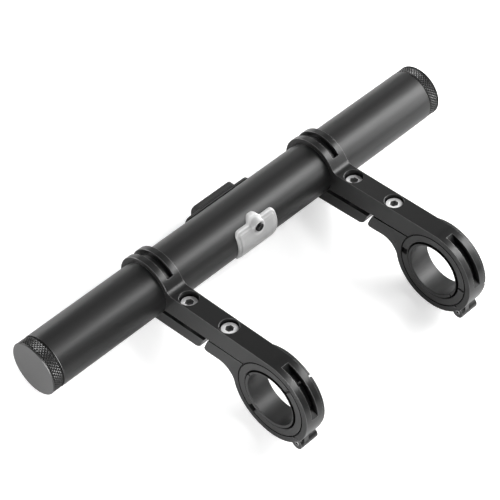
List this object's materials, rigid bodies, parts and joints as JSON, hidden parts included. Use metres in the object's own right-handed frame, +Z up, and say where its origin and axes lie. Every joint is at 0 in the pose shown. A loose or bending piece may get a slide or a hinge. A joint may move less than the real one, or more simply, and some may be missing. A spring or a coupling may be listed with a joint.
{
  "type": "handlebar_extender",
  "caption": "Handlebar extender: two hinged clamps carry a battery tube in front of the bar, with knurled end caps and a clear port cover",
  "frame": {"origin": "on the axis of the handlebar that the clamps hold, midway between the two brackets", "axes": "+X along the handlebar towards the right end, -Y towards the clamp rings' open side, +Y towards the tube, +Z up; the part lies on hoops and rings"},
  "size_m": [0.2106, 0.0998, 0.0372],
  "materials": {
    "black_anodised": "satin",
    "knurled_black": "satin",
    "bead_blasted_black": "matte",
    "shim_plastic": "matte",
    "bolt_steel": "satin",
    "pin_steel": "satin",
    "spring_steel": "satin",
    "socket_steel": "satin",
    "clear_silicone": "satin",
    "black_plastic": "gloss",
    "housing_plastic": "matte",
    "carrier_plastic": "matte",
    "white_plastic": "gloss",
    "board_green": "satin",
    "contact_brass": "satin",
    "cell_wrap": "gloss"
  },
  "bodies": {
    "right_bracket": {"right_arm": "bead_blasted_black", "right_tube_bolt": "bolt_steel", "right_outer_shim": "shim_plastic", "right_inner_shim": "shim_plastic"},
    "battery_tube": {"tube": "black_anodised", "rear_housing": "housing_plastic", "board_carrier": "carrier_plastic", "circuit_board": "board_green", "usb_socket": "socket_steel", "socket_tongue": "white_plastic", "tact_switch": "black_plastic", "left_contact": "contact_brass", "right_contact": "contact_brass", "left_cell": "cell_wrap", "right_cell": "cell_wrap"},
    "left_bracket": {"left_arm": "bead_blasted_black", "left_tube_bolt": "bolt_steel", "left_outer_shim": "shim_plastic", "left_inner_shim": "shim_plastic"},
    "left_jaw_half": {"left_jaw": "bead_blasted_black", "left_hinge_pin": "pin_steel"},
    "right_jaw_half": {"right_jaw": "bead_blasted_black", "right_hinge_pin": "pin_steel"},
    "left_closing_bolt": {"left_bar_bolt": "bolt_steel"},
    "right_closing_bolt": {"right_bar_bolt": "bolt_steel"},
    "left_spring_seat": {"left_cap_spring": "spring_steel"},
    "right_spring_seat": {"right_cap_spring": "spring_steel"},
    "left_end_cap": {"left_cap": "knurled_black"},
    "right_end_cap": {"right_cap": "knurled_black"},
    "cover": {"port_cover": "clear_silicone"},
    "button": {"push_button": "black_plastic"}
  },
  "joints": [
    {"name": "tube_turn", "type": "hinge", "parent": "right_bracket", "child": "battery_tube", "pos_m": [0, 0.06527, -0.0053], "axis": [1, 0, 0], "continuous": true},
    {"name": "left_bracket_slide", "type": "slide", "parent": "right_bracket", "child": "left_bracket", "axis": [1, 0, 0], "range_m": [-0.045, 0.017]},
    {"name": "left_jaw_hinge", "type": "hinge", "parent": "left_bracket", "child": "left_jaw_half", "pos_m": [-0.045, -0.01665, -0.00945], "axis": [-1, 0, 0], "range_deg": [0, 90]},
    {"name": "right_jaw_hinge", "type": "hinge", "parent": "right_bracket", "child": "right_jaw_half", "pos_m": [0.045, -0.01665, -0.00945], "axis": [-1, 0, 0], "range_deg": [0, 90]},
    {"name": "left_closing_bolt_travel", "type": "slide", "parent": "left_bracket", "child": "left_closing_bolt", "axis": [0, 0.316, 0.9487], "range_m": [0, 0.01]},
    {"name": "right_closing_bolt_travel", "type": "slide", "parent": "right_bracket", "child": "right_closing_bolt", "axis": [0, 0.316, 0.9487], "range_m": [0, 0.01]},
    {"name": "left_cap_travel", "type": "slide", "parent": "battery_tube", "child": "left_spring_seat", "axis": [-1, 0, 0], "range_m": [0, 0.0075]},
    {"name": "right_cap_travel", "type": "slide", "parent": "battery_tube", "child": "right_spring_seat", "axis": [1, 0, 0], "range_m": [0, 0.0075]},
    {"name": "left_cap_turn", "type": "hinge", "parent": "left_spring_seat", "child": "left_end_cap", "pos_m": [0, 0.06527, -0.0053], "axis": [-1, 0, 0], "range_deg": [0, 1800]},
    {"name": "right_cap_turn", "type": "hinge", "parent": "right_spring_seat", "child": "right_end_cap", "pos_m": [0, 0.06527, -0.0053], "axis": [1, 0, 0], "range_deg": [0, 1800]},
    {"name": "cover_pull", "type": "slide", "parent": "battery_tube", "child": "cover", "axis": [0, -0.9703, 0.2419], "range_m": [0, 0.015]},
    {"name": "button_press", "type": "slide", "parent": "battery_tube", "child": "button", "axis": [0, 0.9703, -0.2419], "range_m": [0, 0.0005], "stiffness_N_per_m": 400, "springref_m": -0.001}
  ],
  "couplings": [
    {"joint": "left_closing_bolt_travel", "follows": "left_jaw_hinge", "m_per_rad": 0.0063662},
    {"joint": "right_closing_bolt_travel", "follows": "right_jaw_hinge", "m_per_rad": 0.0063662},
    {"joint": "left_cap_turn", "follows": "left_cap_travel", "rad_per_m": 4188.8},
    {"joint": "right_cap_turn", "follows": "right_cap_travel", "rad_per_m": 4188.8}
  ]
}
